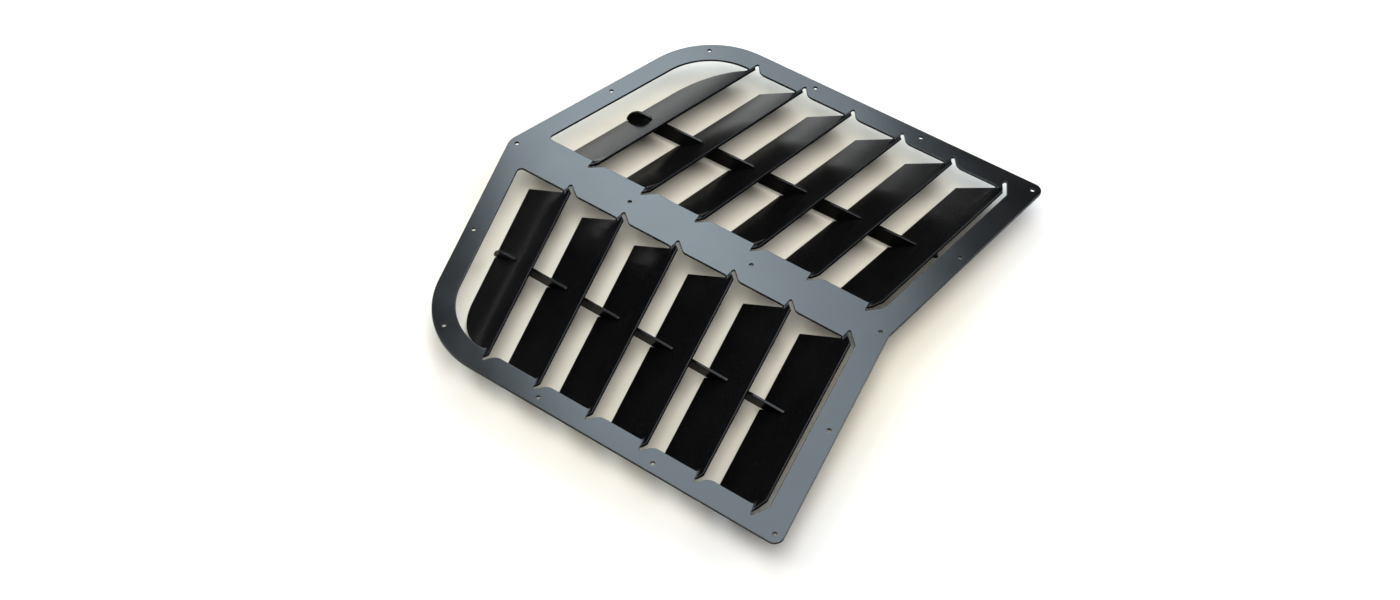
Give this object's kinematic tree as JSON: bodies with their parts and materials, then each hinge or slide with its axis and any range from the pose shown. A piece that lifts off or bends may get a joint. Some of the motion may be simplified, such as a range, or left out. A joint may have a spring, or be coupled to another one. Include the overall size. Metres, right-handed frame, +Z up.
{
  "type": "louvred hood vent panel",
  "caption": "Flat chevron sheet-metal vent panel: banks of tilted, fanned louvre blades either side of a centre spine, braced by slotted stiffeners, with fixing holes round the rim.",
  "frame": {"origin": "centre of the bounding box at its lowest point, on the surface the panel stands on", "axes": "+X across the panel towards its left wing, +Y from the pointed front end to the notched rear end, +Z up out of the outer face of the panel"},
  "size_m": [0.5226, 0.5078, 0.0392],
  "materials": {
    "frame_coat": "satin black powder coat",
    "blade_coat": "satin black powder coat",
    "stiffener_coat": "satin black powder coat"
  },
  "bodies": {
    "root": {"vent_frame": "frame_coat", "louvre_left_1": "blade_coat", "louvre_left_2": "blade_coat", "louvre_left_3": "blade_coat", "louvre_left_4": "blade_coat", "louvre_left_5": "blade_coat", "louvre_left_6": "blade_coat", "louvre_right_1": "blade_coat", "louvre_right_2": "blade_coat", "louvre_right_3": "blade_coat", "louvre_right_4": "blade_coat", "louvre_right_5": "blade_coat", "louvre_right_6": "blade_coat", "stiffener_left": "stiffener_coat", "stiffener_right": "stiffener_coat"}
  },
  "joints": []
}
